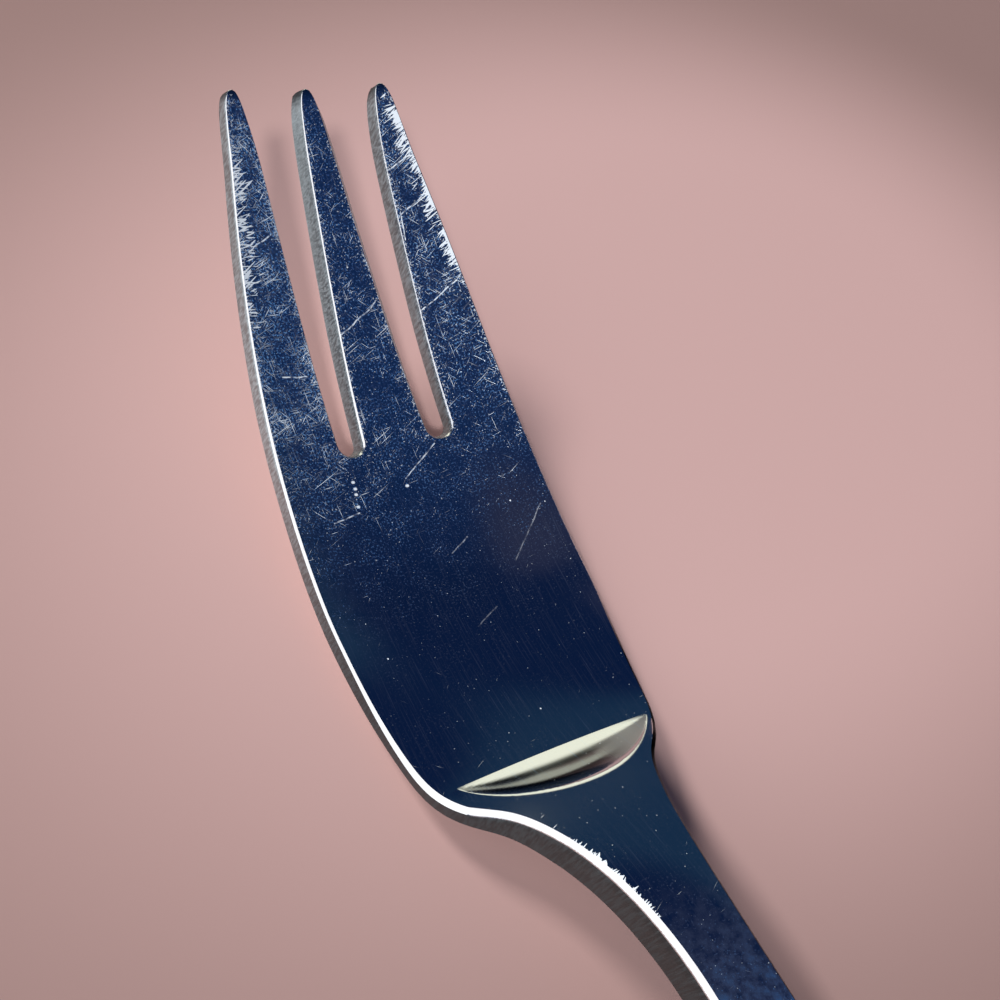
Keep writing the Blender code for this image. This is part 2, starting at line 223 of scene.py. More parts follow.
# Rubbing along the outer tines and the neck: reaches in from the edge, and stretches from the tips
RIGHT_RUB_REACH = (0.3, 3.0)
RIGHT_RUB_CORE = (0.2, 1.0)
RIGHT_CORE_SHARE = 0.35
RIGHT_RUB_START = (-1.0, 3.0)
RIGHT_RUB_END = (16.0, 24.0)
LEFT_RUB = 1.1
LEFT_RUB_REACH = (0.5, 3.0)
LEFT_RUB_START = (1.0, 8.0)
LEFT_RUB_END = (17.0, 29.0)
NECK_RUB = 1.2
NECK_RUB_REACH = (0.4, 0.85)
NECK_RUB_START = (71.0, 75.0)
NECK_RUB_END = (79.0, 86.0)

# Nicks, scuffs, haze, dark tine tips and the right edges' painted shade: stretches from the tips, or across
# from the middle
NICK_REACH = (0.1, 0.5)
NICK_END = (30.0, 40.0)
SCUFF_START = (0.0, 1.5)
SCUFF_END = (20.0, 57.0)
SCUFF_SIDES = (-9.0, 9.0)
LEFT_SCUFFS = 1.3
MIDDLE_SCUFFS = 0.78
RIGHT_SCUFFS = 0.85
PALM_SCUFFS = 0.05
NECK_SCUFFS = 0.3
NECK_SCUFF_START = (76.0, 90.0)
NECK_HAZE = 0.1
NECK_HAZE_START = (78.0, 92.0)
NECK_MARKS_END = (95.0, 105.0)
PALM_HAZE = 0.02
PALM_HAZE_START = (28.0, 38.0)
PALM_HAZE_END = (40.0, 60.0)
PALM_HAZE_SIDE = (-11.0, -5.0)
TIP_DARKENING = 0.6
TIP_DARKENING_END = (0.2, 1.2)
RIGHT_SHADE_START = (50.0, 60.0)

# The step's hollow, painted dark as a painted shade, with two darker streaks of painted reflection: shares
# of its ramp, and stretches across from the middle
HOLLOW_START = (0.22, 0.32)
HOLLOW_END = (0.87, 0.94)
HOLLOW_SIDES = (2.0, 7.0)
LEFT_HOLLOW_SHADE = 0.68
RIGHT_HOLLOW_SHADE = 0.4
STREAK_PLACES = (0.38, 0.72)
STREAK_REACH = (0.03, 0.1)
STREAK_START = (-8.5, -7.0)
STREAK_END = (1.0, 6.0)
STREAK_SHADE = 0.32
MATTING_START = (0.2, 0.35)
MATTING_SIDES = (1.0, 5.0)

# Marks on the polished top: sizes in millimetres, and the levels over which a noise shows as a mark,
# from untouched to worn metal
NOISE_SPREAD = (0.3, 0.7)
PATCH_SIZE = 2.5
PATCH_LEVELS = (0.03, -0.03)
GRAIN_SIZE = 0.18
FLECK_LEVELS = (0.54, 0.485)
FLECK_SCUFFS = 1.3
FLECK_SOFTNESS = 0.26
FLECK_STRENGTH = 0.45
# Level of the fine marks at which the painted blue sheen is full
BLUE_SHEEN_LEVEL = 0.1
SPARKLE_SIZE = 0.2
SPARKLE_LEVELS = (0.74, 0.64)
SPARKLE_SOFTNESS = 0.08
SPARKLE_STRENGTH = 0.55
NICK_LEVEL = 0.14
SCRATCH_WIDTH = 0.065
SCRATCH_TURNS = ((8 * DEG, 1.6), (27 * DEG, 3.6), (48 * DEG, 1.2), (-41 * DEG, 2.0), (96 * DEG, 2.4))
SCRATCH_LEVELS = (0.88, 0.695)
SCRATCH_SCUFFS = 1.15
SCRATCH_SOFTNESS = 0.1
SCRATCH_PATCHES = (0.35, 0.65)
FAINT = 0.15
RUB_WIDTH = 0.14
RUB_TURNS = ((4 * DEG, 1.6), (20 * DEG, 2.4), (36 * DEG, 2.8))
RUB_LEVELS = (0.97, 0.44)
RUB_FULL = 1.5
RUB_SOFTNESS = 0.05
CLUMP_SIZE = 1.3
CLUMP_LEVELS = (0.1, -0.08)
HAZE_SIZE = 0.9
HAZE_SPREAD = (0.25, 0.75)
SPECK_SPACING = 1.7
SPECK_RADIUS = 0.11
SPECK_SOFTNESS = 0.03
BRUSH_LENGTH = 5.0
BRUSH_WIDTH = 0.1
BRUSH_SPREAD = (0.52, 0.8)
BRUSH_STRENGTH = 0.03
BRUSH_DEPTH = 0.003
MARK_DEPTH = 0.008
POLISH_ROUGHNESS = 0.11
MARK_ROUGHNESS = 0.6
MATT_ROUGHNESS = 0.42

# The longest scratches on the top, each from one place to another, and a row of dried drops.
# These places are x and y of the fork, in millimetres
LONG_SCRATCHES = (
    ((-9.7, 69.9), (-6.6, 71.8)),
    ((-9.0, 60.3), (-6.5, 60.3)),
    ((-2.3, 63.4), (1.9, 65.7)),
    ((6.6, 76.1), (8.6, 76.8)),
    ((6.3, 72.2), (8.9, 73.3)),
    ((6.4, 72.1), (6.3, 70.2)),
    ((6.1, 64.2), (10.1, 65.8)),
    ((-0.2, 50.4), (3.6, 52.8)),
    ((-8.4, 47.6), (-5.7, 48.2)),
    ((6.8, 40.3), (11.1, 44.4)),
    ((1.5, 42.8), (3.4, 43.8)),
    ((0.7, 35.6), (3.2, 36.8)),
)
LONG_SCRATCH_WIDTH = 0.09
LONG_SCRATCH_WOBBLE = 0.25
BREAK_SIZE = 0.5
BREAK_SPREAD = (0.35, 0.6)
DROPS = ((-5.5, 50.8), (-5.5, 50.2), (-5.6, 49.7), (-5.8, 48.6), (-0.5, 49.6))
DROP_WIDTH = 0.2
DROP_LENGTH = 0.1
LINE_CORE = 0.3
LINE_FADE = 0.9

# The other finishes: sizes and depths in millimetres, and roughness from the smooth to the rough
EDGE_NICK_SIZE = 0.35
EDGE_NICK_DEPTH = 0.02
EDGE_ROUGHNESS = (0.12, 0.28)
SHEAR_SIZE = 0.18
SHEAR_STRETCH = 0.08
SHEAR_DEPTH = 0.006
SHEAR_ROUGHNESS = (0.38, 0.55)
LINE_LENGTH = 14.0
LINE_WIDTH = 0.12
LINE_DEPTH = 0.006
LINE_PALENESS = 1.15
SMEAR_SIZE = 6.0
SMEAR_SHARES = (0.7, 1.3)
BACK_ROUGHNESS = 0.22
SHELL_ROUGHNESS = 0.18
GRIT_SIZE = 0.8
GRIT_DEPTH = 0.15
GRIT_ROUGHNESS = (0.8, 0.95)
STREAK_HEIGHT = 1000.0

# Lamps: the azimuth, height, size and power of each, and whether polished faces mirror it
KEY_LAMP = (-139 * DEG, 43 * DEG, 0.15, 12.5, True)
FRONT_LAMP = (-27 * DEG, 36 * DEG, 0.35, 15.5, False)
LAMP_DISTANCE = 1.5

# Studio: colours, directions, and edges as angles from where a colour starts to where it is full
WALL_AHEAD = (0.004, 0.015, 0.062)
WALL_BEHIND = (0.007, 0.028, 0.105)
WALL_TURN = (104 * DEG, 80 * DEG)
WALL_LOW = (0.0125, 0.040, 0.095)
WALL_LOW_EDGE = (134 * DEG, 122 * DEG)
CEILING = (0.028, 0.036, 0.085)
CEILING_AZIMUTH = 39 * DEG
CEILING_HEIGHT = 82 * DEG
CEILING_EDGE = (12 * DEG, 2 * DEG)
GLOW = (1.36, 1.37, 1.10)
GLOW_AZIMUTH = 14 * DEG
GLOW_EDGE = (32 * DEG, 25 * DEG)
GLOW_TOP_AZIMUTH = -61 * DEG
GLOW_TOP_HEIGHT = -66 * DEG
GLOW_TOP_EDGE = (107 * DEG, 102 * DEG)
SOFT_BOX = (1.20, 1.20, 1.24)
BOX_AZIMUTH = -82 * DEG
BOX_HEIGHT = 29 * DEG
BOX_EDGE = (39 * DEG, 31 * DEG)

# Floor, in metres, its paint darker away from the fork, a painted pool of light
FLOOR_PALE = (0.622, 0.393, 0.363)
# Darker paint away from the fork: the painted falloff of a pool of light
FLOOR_PAINTED_FALLOFF = (0.322, 0.200, 0.177)
FLOOR_CENTRE = (0.0394, 0.0600, 0.0)
FLOOR_TURN = 8 * DEG
FLOOR_REACH = (0.1106, 0.0783, 1.0)
FLOOR_FLAT_SHARE = 0.4
FLOOR_ROUGHNESS = 0.85
FLOOR_SIZE = 3.0
FLOOR_DROP = 0.00005


def ease(start, end, value):
    """0 before start, 1 past end, and a smooth climb between them."""
    share = np.clip((value - start) / (end - start), 0.0, 1.0)
    return share * share * (3.0 - 2.0 * share)


def past(stretch, place):
    """0 before a stretch and 1 past it."""
    return ease(*stretch, place)


def before(stretch, place):
    """1 before a stretch and 0 past it."""
    return 1 - ease(*stretch, place)


def mix(first, second, share):
    return first + (second - first) * share


# Outline, as half widths at a distance v from the tips

def side_half_width(v):
    radius = np.where(v < WIDEST, TIP_SIDE_RADIUS, HEEL_SIDE_RADIUS)
    return HEAD_WIDTH / 2 - (v - WIDEST) ** 2 / (2 * radius)


def slot_edges(v):
    """Inner and outer edge of a slot."""
    share = v / TINE_LENGTH
    centre = mix(SLOT_MOUTH_SPACING, SLOT_ROOT_SPACING, share) / 2
    half_width = mix(SLOT_MOUTH_WIDTH, SLOT_ROOT_WIDTH, share) / 2
    return centre - half_width, centre + half_width


def shoulder_half_width(v):
    """Half width where the shoulder sweeps into the neck."""
    share = np.clip((NARROWEST - v) / SHOULDER_LENGTH, 0.0, 1.0)
    return mix(SHOULDER_HALF_WIDTH, NECK_WIDTH / 2, np.sqrt(1 - share ** 2))


def wall_flare(x, v):
    """How far a tine's wall leans outwards at its foot."""
    tine_middle = (slot_edges(v)[1] + side_half_width(v)) / 2
    flare = mix(SLOT_FLARE, SIDE_FLARE, ease(-FLARE_CHANGE, FLARE_CHANGE, abs(x) - tine_middle))
    slot_end = mix(1.0, ROOT_FLARE_SHARE, past(ROOT_FLARE_FADE, v)) * (v < TINE_LENGTH)
    along = np.where(abs(x) < tine_middle, slot_end, before(SLOT_FADE, v))
    return flare * along * mix(TIP_FLARE_SHARE, 1.0, ease(0.0, TIP_ROUND / 2, v))


def neck_half_width(v):
    return mix(NECK_WIDTH, NECK_END_WIDTH, ease(NARROWEST, HANDLE_START, v)) / 2


def bezier(start, middle, end, count):
    start, middle, end = np.array((start, middle, end))
    shares = np.linspace(0.0, 1.0, count)
    return [tuple(mix(mix(start, middle, share), mix(middle, end, share), share)) for share in shares]


def tine_tip(start_x, apex_x, end_x):
    """Point of a tine, a blunt curve from one side over the apex to the other."""
    points = []
    for share in np.linspace(-1.0, 1.0, 2 * ARC_POINTS - 1):
        reach = start_x if share < 0 else end_x
        points.append((mix(apex_x, reach, abs(share)), TIP_ROUND * abs(share) ** TIP_POWER))
    return points


def half_outline():
    """Right half of the blank's outline, from the end of the tang to the middle tine's apex."""
    points = [(TANG_WIDTH / 2, TANG_END), (TANG_WIDTH / 2, HANDLE_START)]
    for v in np.linspace(HANDLE_START, NARROWEST, 2 * ARC_POINTS):
        points.append((neck_half_width(v), v))
    last_turn = math.acos(SHOULDER_ROUND / (SHOULDER_HALF_WIDTH - NECK_WIDTH / 2))
    for turn in np.linspace(0.0, last_turn, 2 * ARC_POINTS)[1:]:
        v = NARROWEST - SHOULDER_LENGTH * math.sin(turn)
        points.append((shoulder_half_width(v), v))
    side_start = SHOULDER - SHOULDER_ROUND
    side_end = (side_half_width(side_start), side_start)
    points += bezier(points[-1], (SHOULDER_HALF_WIDTH, SHOULDER), side_end, ARC_POINTS)[1:]
    for v in np.linspace(side_start, TIP_ROUND, 4 * ARC_POINTS)[1:-1]:
        points.append((side_half_width(v), v))
    inner, outer = slot_edges(TIP_ROUND)
    tip_x = mix(outer, side_half_width(TIP_ROUND), OUTER_TIP_SHARE)
    points += tine_tip(side_half_width(TIP_ROUND), tip_x, outer)
    root_inner, root_outer = slot_edges(TINE_LENGTH)
    root_x = (root_inner + root_outer) / 2
    root_radius = (root_outer - root_inner) / 2
    for turn in np.linspace(0.0, math.pi, ARC_POINTS):
        x = root_x + root_radius * math.cos(turn)
        points.append((x, TINE_LENGTH - root_radius * (1 - math.sin(turn))))
    return points + tine_tip(inner, 0.0, -inner)[:ARC_POINTS]


def resample(points):
    """Points of a line spaced evenly, with its ends kept."""
    points = np.array(points, float)
    along = np.concatenate(([0.0], np.cumsum(np.linalg.norm(np.diff(points, axis=0), axis=1))))
    count = max(int(round(along[-1] / OUTLINE_STEP)), 2)
    even = np.linspace(0.0, along[-1], count + 1)
    return np.column_stack([np.interp(even, along, points[:, axis]) for axis in (0, 1)])


def outline():
    """Whole outline of the blank, as a loop with its corners at the tang kept and its shoulders eased."""
    right = half_outline()
    corners = (0, 1, 2, len(right) - 1)
    runs = [resample(right[a:b + 1]) for a, b in zip(corners, corners[1:])]
    loop = np.concatenate([run[:-1] for run in runs] + [runs[-1][-1:]])
    shoulder = abs(loop[:, 1] - SHOULDER) < SHOULDER_EASE
    tips = abs(loop[:, 1] - TIP_ROUND) < TIP_EASE
    for place, rounds in ((shoulder, SHOULDER_SMOOTHING), (tips, TIP_SMOOTHING)):
        for _ in range(rounds):
            eased = loop.copy()
            eased[1:-1] = loop[:-2] / 4 + loop[1:-1] / 2 + loop[2:] / 4
            loop[place] = eased[place]
    return np.concatenate((loop, loop[-2::-1] * (-1, 1)))


# Heights above and below the middle surface

def step_reach(x):
    """Length of the step's ramp at a place across the metal."""
    share = np.clip((x - STEP_SHIFT) / STEP_HALF_WIDTH, -1.0, 1.0)
    return STEP_LENGTH * np.maximum((1 - share ** 2) ** STEP_END_POWER, STEP_END_SHARE)


def step_ramp(share):
    """Rise of the step along its ramp: a crease, a hollow with a shallow wave, and a fine round rim."""
    rim_start = 1 - STEP_RIM
    rim_slope = STEP_START_SLOPE + 2 * (1 - STEP_START_SLOPE) * rim_start
    cove = np.clip(share, 0.0, rim_start)
    over = np.clip(share - rim_start, 0.0, 2 * STEP_RIM)
    rise = STEP_START_SLOPE * cove + (1 - STEP_START_SLOPE) * cove ** 2
    across = np.clip((cove - STEP_WAVE_PLACE) / STEP_WAVE_REACH, -1.0, 1.0)
    # The slope of the wave is (1 - across ** 2) ** 2, and this is its sum from the wave's start
    wave = across - 2 * across ** 3 / 3 + across ** 5 / 5 + 8 / 15
    rise = rise - STEP_WAVE * STEP_WAVE_REACH * wave
    return rise + rim_slope * (over - over ** 2 / (4 * STEP_RIM))


def edge_lift(v):
    """Height of the head's edges over its middle: dished at the palm, crowned at the shoulder."""
    crowned = mix(DISH_DEPTH, -HEEL_CROWN, ease(SHOULDER - DISH_FADE, SHOULDER, v))
    return mix(crowned, 0.0, ease(SHOULDER, NARROWEST, v))


def in_tang(v):
    return v > HANDLE_START + LINE_STEP / 2


def top_height(x, v):
    middle = STEP_SHIFT * (1 - ease(SHOULDER, NARROWEST, v))
    crown = np.maximum(1 - ((x - middle) / STEP_HALF_WIDTH) ** 2, 0.0)
    ramp = step_ramp((v - STEP_START) / step_reach(x))
    step = mix(STEP_RISE, NECK_RISE, ease(SHOULDER, NARROWEST, v))
    neck = mix(step, NECK_END_HEIGHT / 2, ease(NARROWEST, HANDLE_START, v))
    return np.where(in_tang(v), TANG_THICKNESS / 2, neck * crown * ramp)


def bottom_height(v):
    plate = mix(TIP_THICKNESS, PLATE_THICKNESS, ease(0.0, TIP_TAPER, v))
    neck = mix(NECK_BACK, NECK_END_HEIGHT / 2, ease(NARROWEST, HANDLE_START, v))
    body = mix(plate, neck, ease(SHOULDER - BACK_BLEND / 2, SHOULDER + BACK_BLEND / 2, v))
    return -np.where(in_tang(v), TANG_THICKNESS / 2, body)


def edge_round(v):
    """Depth to which the upper edge of the metal is rounded off."""
    palm = mix(EDGE_TINE, EDGE_PALM, past(EDGE_GROWTH, v))
    heel = mix(palm, EDGE_HEEL, ease(SHOULDER - EDGE_BLEND, SHOULDER, v))
    body = mix(heel, EDGE_NECK_END, ease(HANDLE_START - EDGE_END_BLEND, HANDLE_START, v))
    tip = mix(EDGE_TIP_SHARE, 1.0, np.minimum(v / TIP_ROUND, 1.0))
    return np.where(in_tang(v), EDGE_TINE, body * tip)


def handle_half_width(v, inset):
    body = mix(NECK_END_WIDTH, HANDLE_WIDTH, ease(HANDLE_START, END_CENTRE, v)) / 2
    return (body - inset) * end_cap(v, inset)


def handle_half_height(v, inset):
    body = mix(NECK_END_HEIGHT, HANDLE_THICKNESS, ease(HANDLE_START, END_CENTRE, v)) / 2
    return (body - inset) * end_cap(v, inset)


def end_cap(v, inset):
    """Share of the handle's section that is left at a station on its round end."""
    share = max(v - END_CENTRE, 0.0) / (HANDLE_END_ROUND - inset)
    return math.sqrt(max(1 - share ** 2, 0.0))


class CentreLine:
    """Side view of the middle surface, pitched so that the heel and the handle's end share a floor."""

    def __init__(self):
        self.v = np.arange(0.0, HANDLE_END + 2 * LINE_STEP, LINE_STEP)
        low, high = -PITCH_LIMIT, PITCH_LIMIT
        for _ in range(PITCH_HALVINGS):
            pitch = (low + high) / 2
            heel, handle = self.bend(pitch)
            if handle > heel - LAND_DEPTH:
                low = pitch
            else:
                high = pitch
        front = self.y[0] - bottom_height(0.0) * math.sin(self.slope[0])
        back = float(np.interp(HANDLE_END, self.v, self.y))
        self.y -= (front + back) / 2
        self.z -= heel

    def bend(self, pitch):
        """Set the curve at a pitch and return the lowest points of the head and the handle."""
        bends = (
            (0.0, TIP_SLOPE),
            (TINE_STRAIGHT, TINE_SLOPE),
            (WIDEST, PALM_SLOPE),
            (SHOULDER - HEEL_TO_SHOULDER, HEEL_SLOPE),
            (SHOULDER + RISE_PAST_SHOULDER, RISE_SLOPE),
            (NARROWEST, NARROW_SLOPE),
            (HANDLE_START, ARCH_SLOPE),
            (END_CENTRE, HANDLE_SLOPE),
        )
        slope = np.interp(self.v, *zip(*bends))
        window = 2 * round(BEND_EASE / LINE_STEP / 2) + 1
        padded = np.pad(slope, window - 1, mode="edge")
        box = np.ones(window) / window
        self.slope = np.convolve(np.convolve(padded, box, "valid"), box, "valid") + pitch
        self.y = -self.travel(np.cos(self.slope))
        self.z = -self.travel(np.sin(self.slope))
        head = self.v < NARROWEST
        heel = np.min((self.z + bottom_height(self.v) * np.cos(self.slope))[head])
        body = [i for i, v in enumerate(self.v) if HANDLE_START < v < HANDLE_END]
        handle = min(self.z[i] - handle_half_height(self.v[i], 0.0) * math.cos(self.slope[i]) for i in body)
        return heel, handle

    def travel(self, rate):
        return np.concatenate(([0.0], np.cumsum((rate[1:] + rate[:-1]) / 2) * LINE_STEP))

    def place(self, x, v, height):
        """Points of the fork, in metres, for places across, along and above the metal."""
        slope = np.interp(v, self.v, self.slope)
        lift = edge_lift(v)
        rise = height + lift * (2 * x / HEAD_WIDTH) ** 2
        # The dish tips the surface, so a height also moves a point across
        across = x - height * 8 * lift * x / HEAD_WIDTH ** 2
        y = np.interp(v, self.v, self.y) - rise * np.sin(slope)
        z = np.interp(v, self.v, self.z) + rise * np.cos(slope)
        return np.column_stack((across, y, z)) * MM


# Wear of the top face

def rub_wear(x, v):
    """Bold rubbing along the outer tines' sides and the neck's left edge."""
    to_side = side_half_width(v) - abs(x)
    to_neck = shoulder_half_width(v) - abs(x)
    right = before(RIGHT_RUB_REACH, to_side) + RIGHT_CORE_SHARE * before(RIGHT_RUB_CORE, to_side)
    right = right * past(RIGHT_RUB_START, v) * before(RIGHT_RUB_END, v)
    left = LEFT_RUB * before(LEFT_RUB_REACH, to_side) * past(LEFT_RUB_START, v) * before(LEFT_RUB_END, v)
    neck = NECK_RUB * before(NECK_RUB_REACH, to_neck) * past(NECK_RUB_START, v) * before(NECK_RUB_END, v)
    return np.where(x > 0, right, np.maximum(left, neck))


def nick_wear(x, v):
    """Nicks along every edge of the tines."""
    to_side = side_half_width(v) - abs(x)
    to_slot = np.minimum(*(abs(abs(x) - edge) for edge in slot_edges(v)))
    return before(NICK_REACH, np.minimum(to_side, to_slot)) * before(NICK_END, v)


def tine_scuffs(x, v):
    """Scuffs of the tines, which fade along the palm."""
    along = mix(1.0, PALM_SCUFFS, past(SCUFF_END, v)) * past(SCUFF_START, v)
    sides = mix(LEFT_SCUFFS, RIGHT_SCUFFS, past(SCUFF_SIDES, x))
    middle_tine = (abs(x) < slot_edges(v)[1]) * before(SLOT_FADE, v)
    return along * mix(sides, MIDDLE_SCUFFS, middle_tine)


def haze_and_sheen_wear(x, v):
    """Pale haze on the neck and along the palm's left edge, drawn in the painted blue sheen."""
    neck = NECK_HAZE * past(NECK_HAZE_START, v) * before(NECK_MARKS_END, v)
    palm = PALM_HAZE * past(PALM_HAZE_START, v) * before(PALM_HAZE_END, v) * before(PALM_HAZE_SIDE, x)
    return neck + palm


def step_painted_shade(x, up_step):
    """Painted shade in the step's hollow, with two darker streaks of painted reflection."""
    hollow = mix(LEFT_HOLLOW_SHADE, RIGHT_HOLLOW_SHADE, past(HOLLOW_SIDES, x))
    hollow = hollow * past(HOLLOW_START, up_step) * before(HOLLOW_END, up_step)
    streaks = sum(before(STREAK_REACH, abs(up_step - place)) for place in STREAK_PLACES)
    return hollow + STREAK_SHADE * streaks * past(STREAK_START, x) * before(STREAK_END, x)


def wear(x, v):
    """How far use has marked the metal, for each kind of mark, and where shade and a sheen are painted on.
    """
    up_step = (v - STEP_START) / step_reach(x)
    on_step = (up_step > 0) & (up_step < 1)
    scuffs = tine_scuffs(x, v)
    neck_scuffs = NECK_SCUFFS * past(NECK_SCUFF_START, v) * before(NECK_MARKS_END, v)
    in_hollow = on_step * past(MATTING_START, up_step) * before(HOLLOW_END, up_step)
    return {
        "scuffs": np.where(on_step, 0.0, scuffs + neck_scuffs),
        # Wear of the sides, and where it is low their painted shade
        "side_wear_and_shade": scuffs,
        # Painted shade and painted reflection streaks in the step's hollow, and darker tine tips elsewhere
        "step_shade_and_dark_tips": np.where(on_step, step_painted_shade(x, up_step), TIP_DARKENING * before(TIP_DARKENING_END, v)),
        "haze_and_sheen": haze_and_sheen_wear(x, v),
        "matting": in_hollow * past(MATTING_SIDES, x),
        "right_edge_shade": (x > 0) * past(RIGHT_SHADE_START, v),
        # The right-hand edges from the heel on take a painted shade
        "nicks": nick_wear(x, v),
        "rubbing": rub_wear(x, v),
    }


# Meshes

class Surface:
    """Points and faces gathered into one mesh."""

    def __init__(self):
        self.points = []
        self.faces = []
        self.finishes = []
        self.wear = {}

    def add_points(self, points, marks=None):
        start = len(self.points)
        self.points.extend(map(tuple, points))
        for name, amounts in (marks or {}).items():
            self.wear.setdefault(name, []).extend(amounts)
        return np.arange(start, len(self.points))

    def add_face(self, corners, finish):
        self.faces.append(tuple(int(i) for i in corners))
        self.finishes.append(finish)

    def add_strip(self, first, second, finish, closed=True):
        """Faces between two rows of as many points."""
        count = len(first)
        for i in range(count if closed else count - 1):
            j = (i + 1) % count
            self.add_face((first[i], first[j], second[j], second[i]), finish)

    def to_object(self, name, materials):
        mesh = bpy.data.meshes.new(name)
        mesh.from_pydata(self.points, [], self.faces)
        for material in materials:
            mesh.materials.append(material)
        mesh.polygons.foreach_set("material_index", self.finishes)
        mesh.validate()
        weld_and_face_out(mesh)
        mesh.shade_smooth()
        mesh.set_sharp_from_angle(angle=SHARP_ANGLE)
        for kind, amounts in self.wear.items():
            mesh.attributes.new(kind, "FLOAT", "POINT").data.foreach_set("value", amounts)
        piece = bpy.data.objects.new(name, mesh)
        bpy.context.scene.collection.objects.link(piece)
        return piece


def weld_and_face_out(mesh):
    """Join points that coincide, such as those at the handle's end, and turn every face outwards."""
    shape = bmesh.new()
    shape.from_mesh(mesh)
    bmesh.ops.remove_doubles(shape, verts=shape.verts, dist=WELD_DISTANCE * MM)
    bmesh.ops.recalc_face_normals(shape, faces=shape.faces)
    if shape.calc_volume(signed=True) < 0:
        bmesh.ops.reverse_faces(shape, faces=shape.faces)
    shape.to_mesh(mesh)
    shape.free()


def inside(loop, points, margin):
    """Points that lie inside a loop and further than a margin from it."""
    x, y = points[:, 0], points[:, 1]
    odd = np.zeros(len(points), bool)
    near = np.zeros(len(points), bool)
    for (ax, ay), (bx, by) in zip(loop, np.roll(loop, -1, axis=0)):
        near |= (x - ax) ** 2 + (y - ay) ** 2 < margin ** 2
        if ay != by:
            crossed = (ay > y) != (by > y)
            odd ^= crossed & (x < (bx - ax) * (y - ay) / (by - ay) + ax)
    return odd & ~near


def grid(low_x, high_x, low_v, high_v, step):
    """Evenly spaced places in a rectangle, every other row moved by half a step."""
    rows = np.arange(low_v, high_v, step * math.sqrt(3) / 2)
    columns = np.arange(low_x, high_x, step)
    return np.array([(x + step / 2 * (i % 2), v) for i, v in enumerate(rows) for x in columns])


def step_lines():
    """Lines on the top that keep the step crisp: both sides of its crease and of its rim."""
    turns = np.linspace(-math.pi / 2, math.pi / 2, STEP_LINE_POINTS)[1:-1]
    xs = STEP_SHIFT + STEP_HALF_WIDTH * np.sin(turns)
    lines = [np.column_stack((xs, np.full(len(xs), v))) for v in (STEP_START - CREASE_GUARD, STEP_START)]
    for share in (CREASE_GUARD / STEP_LENGTH, 1 - STEP_RIM, 1.0, 1 + STEP_RIM):
        lines.append(np.column_stack((xs, STEP_START + share * step_reach(xs))))
    return lines


def cap_places(loop, top):
    """Places inside a cap: an even grid, rows at the tang, and on the top a finer grid at the step."""
    low, high = loop.min(axis=0), loop.max(axis=0)
    places = grid(low[0], high[0], low[1], high[1], CAP_STEP)
    row = np.linspace(-TANG_ROW_HALF_WIDTH, TANG_ROW_HALF_WIDTH, TANG_ROW_POINTS)
    for v in (HANDLE_START + LINE_STEP / 4, HANDLE_START + LINE_STEP):
        places = np.concatenate((places, np.column_stack((row, np.full(len(row), v)))))
    if top:
        low_x, high_x = STEP_SHIFT - STEP_HALF_WIDTH, STEP_SHIFT + STEP_HALF_WIDTH
        low_v, high_v = STEP_START - STEP_GRID_MARGIN, STEP_START + STEP_LENGTH + STEP_GRID_MARGIN
        margin = 2 * STEP_GRID
        x, v = places.T
        beside = (x < low_x - margin) | (x > high_x + margin)
        beyond = (v < low_v - margin) | (v > high_v + margin)
        fine = grid(low_x, high_x, low_v, high_v, STEP_GRID)
        places = np.concatenate((places[beside | beyond], fine))
    return places


def fill_cap(surface, ring, loop, top, lift, finish):
    """Close a ring of points with a fine cap, shaped by a function of place."""
    places = cap_places(loop, top)
    places = places[inside(loop, places, CAP_MARGIN)]
    edges = []
    if top:
        for line in step_lines():
            line = line[inside(loop, line, LINE_MARGIN)]
            start = len(loop) + len(places)
            edges += [(start + i, start + i + 1) for i in range(len(line) - 1)]
            places = np.concatenate((places, line))
    flat = [Vector(p) for p in np.concatenate((loop, places))]
    rim = list(range(len(loop)))
    filled_inside = 1
    verts, _, faces, sources, _, _ = delaunay_2d_cdt(flat, edges, [rim], filled_inside, MERGE_DISTANCE)
    verts = np.array([tuple(v) for v in verts])
    known = [min(source) if source and min(source) < len(loop) else -1 for source in sources]
    new = [i for i, source in enumerate(known) if source < 0]
    x, v = verts[new].T
    added = surface.add_points(lift(x, v), wear(x, v))
    index = {i: added[k] for k, i in enumerate(new)}
    for i, source in enumerate(known):
        if source >= 0:
            index[i] = ring[source]
    for face in faces:
        corners = [index[i] for i in face]
        surface.add_face(corners if top else corners[::-1], finish)


